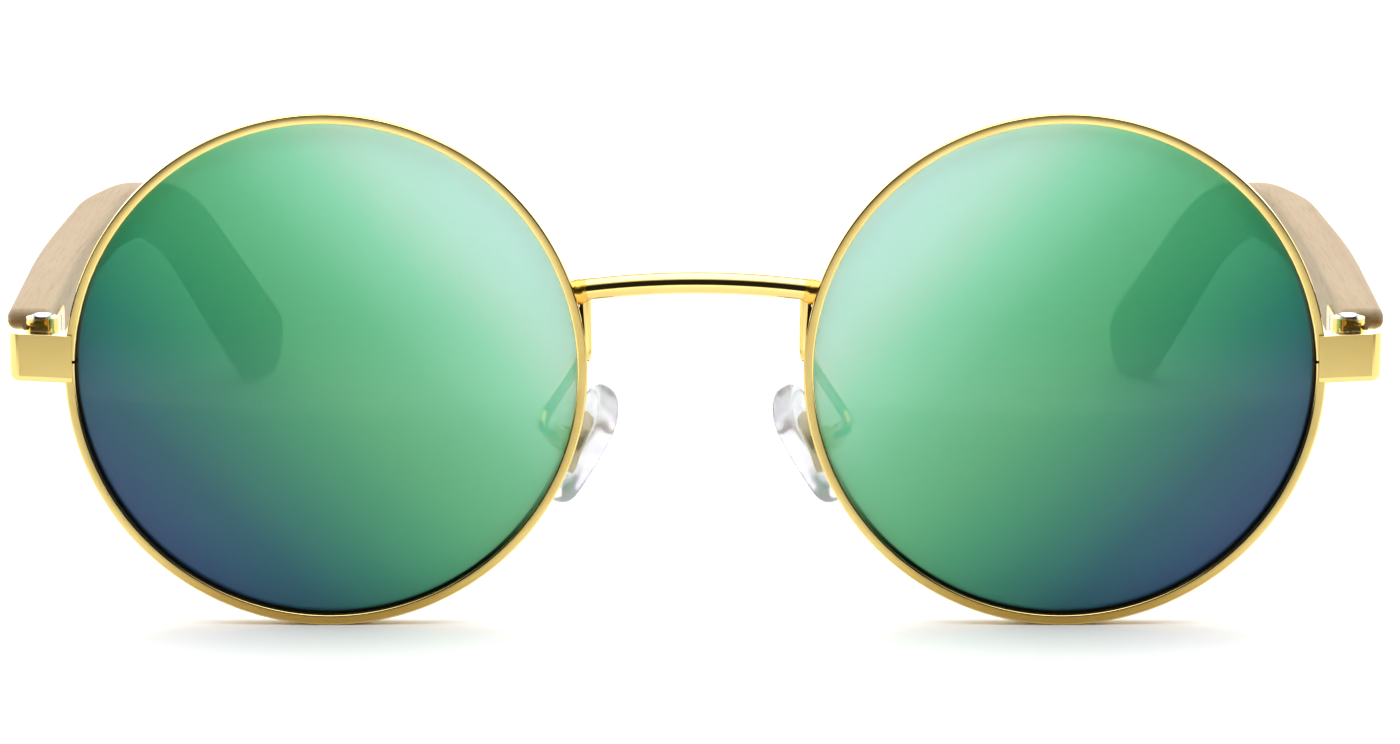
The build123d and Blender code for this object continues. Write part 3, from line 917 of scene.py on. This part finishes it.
# %% Table
start_clean()
table_size = 8.0
table_front = cad_box[0].y - 70 * mm
table_middle = (0, table_front + table_size / 2, cad_box[0].z)
bpy.ops.mesh.primitive_plane_add(size=table_size, location=table_middle)
table = bpy.context.object
table.name = "table"
paper = Finish("pale_paper")
paper_grain = paper.noise(paper.place(), 300.0, 2.0)
paper.give(
    Base_Color=paper.blend(paper_grain, (0.95, 0.95, 0.95, 1.0), (0.97, 0.97, 0.97, 1.0)),
    Roughness=0.9,
)
table.data.materials.append(paper.material)
print("table front edge at", round(table_front / mm, 1), "mm")


# %% Room light
dim_room = 0.02
ceiling_light = 1.0
hot_light = 2.4
back_light = 0.75
strip_light = 1.8
low_light = 1.95
backdrop_brightness = 1.0


def room_light():
    """A world painted by direction: x to the right, y away from the camera, z up.

    It lights the object, and the camera itself sees a plain white backdrop instead.
    """
    world = bpy.data.worlds.new("studio")
    bpy.context.scene.world = world
    world.use_nodes = True
    tree = Tree(world.node_tree)
    x, y, z = tree.split(tree.node("ShaderNodeTexCoord", output="Generated"))
    ceiling = tree.clamped(z, 0.66, 0.76)
    hot_middle = tree.clamped(z, 0.80, 0.90)
    back = tree.clamped(y, 0.0, 0.3)
    back_strip = back * tree.clamped(z, 0.42, 0.30)
    below = tree.clamped(z, -0.13, -0.30)
    bright = dim_room + ceiling * ceiling_light + hot_middle * hot_light + below * low_light
    bright = bright + back * back_light + back_strip * strip_light
    seen = tree.node("ShaderNodeLightPath", output="Is Camera Ray")
    bright = bright * (1.0 - seen) + seen * backdrop_brightness
    background = tree.node_tree.nodes.new("ShaderNodeBackground")
    out = tree.node_tree.nodes.new("ShaderNodeOutputWorld")
    tree.feed(background.inputs["Strength"], bright)
    background.inputs["Color"].default_value = (1.0, 1.0, 1.0, 1.0)
    tree.node_tree.links.new(background.outputs[0], out.inputs[0])


room_light()
bpy.context.scene.view_settings.view_transform = "Standard"
print("room nodes", len(bpy.context.scene.world.node_tree.nodes))


# %% Camera
camera_distance = 550.0 * mm
camera_height = math.radians(11.0)
camera_lens = 141.4
aim_aside = 0.45 * mm
aim_behind = 0.7 * mm


def aim_camera():
    """A long lens in front, a little above, looking at the middle of the front."""
    rim_low, rim_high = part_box("left_rim")
    target = Vector((aim_aside, rim_low.y + aim_behind, (rim_low.z + rim_high.z) / 2))
    away = Vector((0.0, -math.cos(camera_height), math.sin(camera_height)))
    data = bpy.data.cameras.new("camera")
    data.sensor_width = 36.0
    data.lens = camera_lens
    data.clip_start = 0.01
    data.clip_end = 20.0
    camera = bpy.data.objects.new("camera", data)
    bpy.context.collection.objects.link(camera)
    camera.location = target + away * camera_distance
    camera.rotation_euler = (-away).to_track_quat("-Z", "Y").to_euler()
    bpy.context.scene.camera = camera
    print("camera at", [round(c, 4) for c in camera.location])


aim_camera()
